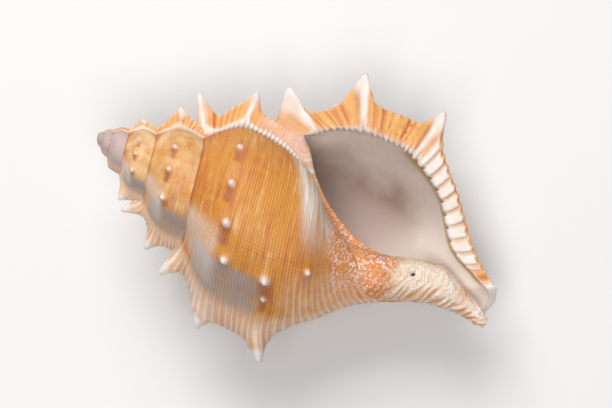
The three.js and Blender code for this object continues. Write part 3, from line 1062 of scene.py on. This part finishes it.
# painted shade: the lining turns browner further into the mouth
depth = (mark["turn"] + 0.13) * 9.0 + (broad - 0.5) * 1.2
lining_and_painted_shade = plain(INNER_SHADE).blended(INNER_PALE, depth.clamped())
# painted light: paler again in the depth, beyond the lining's own pale colour
lining_and_painted_shade = lining_and_painted_shade.blended(DEPTH_PALE_AND_LIGHT, ((-0.12 - mark["turn"]) * 12.0).clamped())
lower = mark["across"].stepped(34.0, 46.0)
lining_and_painted_shade = lining_and_painted_shade.blended(INNER_PALE, (lower * (0.75 + (broad - 0.5) * 0.6)).clamped())
# painted shadow in the groove behind the teeth
lining_and_painted_shade = lining_and_painted_shade.blended(GROOVE_SHADE, mark["groove_shade"] * 0.9)
colour = colour.blended(lining_and_painted_shade, mark["lining"])
tree.links.new(colour.socket, bsdf.inputs["Base Color"])
print("nodes for colour", len(tree.nodes))

# %% [markdown]
# ## Gloss and relief
# The outside is dull and the lining is glazed. Growth lines, grain and the small warts are finer than
# the mesh, so they are a bump of a few hundredths of a millimetre.

# %% Gloss and relief
rough = 0.5 + (fine - 0.5) * 0.25 - mark["lining"] * 0.3 - mark["white"] * 0.08
tree.links.new(rough.clamped().socket, bsdf.inputs["Roughness"])
LINES_PER_TURN = 360.0 / BEAD_SPACING
lines = start.maths("SINE", mark["turn"] * (LINES_PER_TURN * 2.0 * math.pi) + (broad - 0.5) * 6.0)
warts = (mark["pink"] + mark["ivory"]).clamped() * grain_tops * 2.2
outer = 1.0 - mark["lining"]
relief = outer * (lines * middle * 0.4 + (fine - 0.5) * 0.9 + (grains - 0.5) * 0.5 + warts)
bump = start.node("ShaderNodeBump", Strength=0.6, Distance=0.00006, Height=relief)
tree.links.new(bump.socket, bsdf.inputs["Normal"])
bsdf.inputs["Subsurface Weight"].default_value = 0.08
bsdf.inputs["Subsurface Scale"].default_value = 0.0008
bsdf.inputs["Specular IOR Level"].default_value = 0.4
for piece in pieces:
    piece.data.materials.append(shell)
print("growth lines in one turn", round(LINES_PER_TURN))

# %% [markdown]
# ## Floor
# The shell lies on a plain pale floor, as in a small product studio. It is a single flat face, so
# large that its edge is never seen.

# %% Floor
FLOOR_HALF = 1.5  # metres
floor_mesh = bpy.data.meshes.new("floor")
floor_sheet = bmesh.new()
bmesh.ops.create_grid(floor_sheet, x_segments=1, y_segments=1, size=FLOOR_HALF)
floor_sheet.to_mesh(floor_mesh)
floor_sheet.free()
floor = bpy.data.objects.new("floor", floor_mesh)
bpy.context.scene.collection.objects.link(floor)
pale = bpy.data.materials.new("pale_floor")
pale.use_nodes = True
pale_look = pale.node_tree.nodes["Principled BSDF"].inputs
pale_look["Base Color"].default_value = linear("D9D8D6")
pale_look["Roughness"].default_value = 0.8
floor_mesh.materials.append(pale)
print("floor in metres", 2.0 * FLOOR_HALF)

# %% [markdown]
# ## Camera
# The camera looks down into the mouth, along the shell's own third axis. A long lens far off keeps
# the near and far parts of the shell in proportion, as a short one close up wouldn't.

# %% Camera

VIEW_RIGHT = Vector((0.899, 0.438, 0.0)) @ Matrix(TO_FRAME).transposed()
VIEW_UP = Vector((-0.438, 0.899, 0.0)) @ Matrix(TO_FRAME).transposed()
VIEW_FROM = VIEW_RIGHT.cross(VIEW_UP).normalized()
FIELD = 0.0991  # metres that the picture is wide at the shell
LENS = 135.0  # mm
SENSOR = 36.0  # mm
aim = Vector((0.0353, 0.0048, 0.0)) @ Matrix(TO_FRAME).transposed() + shift
camera_data = bpy.data.cameras.new("camera")
camera_data.lens = LENS
camera_data.sensor_width = SENSOR
distance = FIELD * LENS / SENSOR
camera = bpy.data.objects.new("camera", camera_data)
facing = Matrix((VIEW_RIGHT, VIEW_UP, VIEW_FROM)).transposed().to_4x4()
camera.matrix_world = Matrix.Translation(aim + VIEW_FROM * distance) @ facing
bpy.context.scene.collection.objects.link(camera)
bpy.context.scene.camera = camera
print("camera is", round(distance, 3), "m away")

# %% [markdown]
# ## Light
# A large key light stands at the upper left, a weaker one fills the shadows from the other side, and
# a faint even sky keeps them from going black. Small lamps would draw hard shadows between the spines.

# %% Light
LIGHT_AIM = Vector((0.0, 0.0, 0.012))  # metres, about the middle of the shell


def soft_light(name, place, size, power):
    """A square light at a place, in metres, facing the shell."""
    data = bpy.data.lights.new(name, "AREA")
    data.size = size
    data.energy = power
    light = bpy.data.objects.new(name, data)
    aim_at = (LIGHT_AIM - Vector(place)).to_track_quat("-Z", "Y")
    light.matrix_world = Matrix.Translation(place) @ aim_at.to_matrix().to_4x4()
    bpy.context.scene.collection.objects.link(light)


soft_light("key", (-0.25, 0.30, 0.45), 0.35, 3.1)
soft_light("fill", (0.05, -0.14, 0.52), 0.30, 1.8)
world = bpy.data.worlds.new("studio")
world.use_nodes = True
sky = world.node_tree.nodes["Background"].inputs
sky["Color"].default_value = (0.9, 0.92, 1.0, 1.0)
sky["Strength"].default_value = 0.22
bpy.context.scene.world = world
bpy.context.scene.view_settings.view_transform = "Standard"
